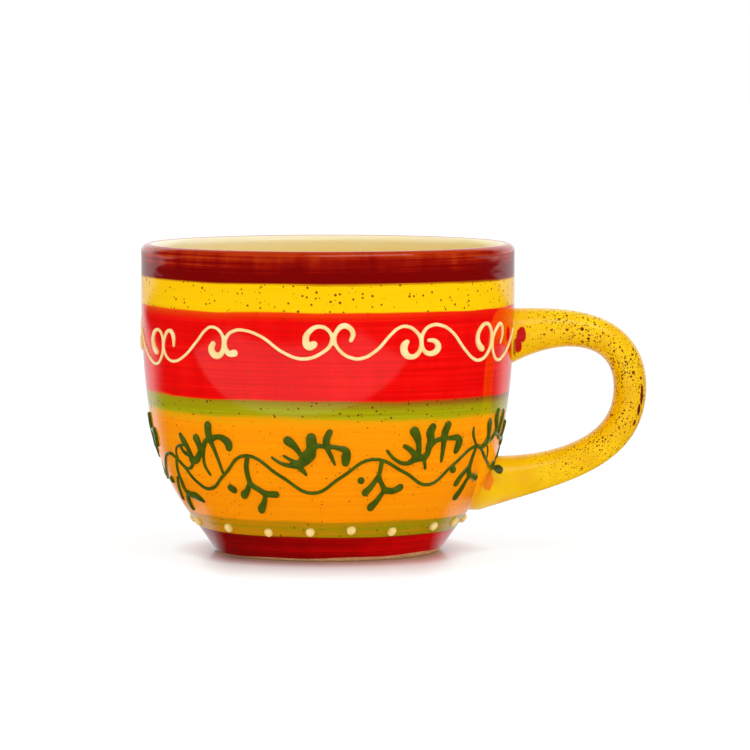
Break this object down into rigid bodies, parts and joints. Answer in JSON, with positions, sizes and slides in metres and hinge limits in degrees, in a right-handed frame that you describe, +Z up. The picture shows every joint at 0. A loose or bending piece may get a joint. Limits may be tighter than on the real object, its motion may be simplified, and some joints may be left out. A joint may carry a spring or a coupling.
{
  "type": "mug",
  "caption": "Wide hand-painted clay mug with a rounded belly, an ear-shaped loop handle, coloured glaze bands and raised slip ornament.",
  "frame": {"origin": "on the axis of the cup, level with the ground that the foot ring stands on", "axes": "+Z up along the axis of the cup, +X out through the handle"},
  "size_m": [0.1358, 0.101, 0.0825],
  "materials": {
    "raw_clay": "matte",
    "joining_slip": "matte",
    "cream_glaze": "gloss",
    "maroon_glaze": "gloss",
    "foot_red_glaze": "gloss",
    "olive_glaze": "gloss",
    "orange_glaze": "gloss",
    "lime_glaze": "gloss",
    "red_glaze": "gloss",
    "yellow_glaze": "gloss",
    "handle_glaze": "gloss",
    "cream_slip": "gloss",
    "green_slip": "gloss"
  },
  "bodies": {
    "root": {"clay_body": "raw_clay", "clay_handle": "raw_clay", "upper_slip_joint": "joining_slip", "lower_slip_joint": "joining_slip", "liner_glaze": "cream_glaze", "foot_band": "foot_red_glaze", "lower_green_band": "olive_glaze", "orange_band": "orange_glaze", "green_band": "lime_glaze", "red_band": "red_glaze", "yellow_band": "yellow_glaze", "rim_band": "maroon_glaze", "handle_glaze": "handle_glaze", "scroll_trails": "cream_slip", "vine_stem": "green_slip", "vine_leaves": "green_slip", "vine_drops": "green_slip", "vine_berries": "green_slip", "cream_dots": "cream_slip"}
  },
  "joints": []
}
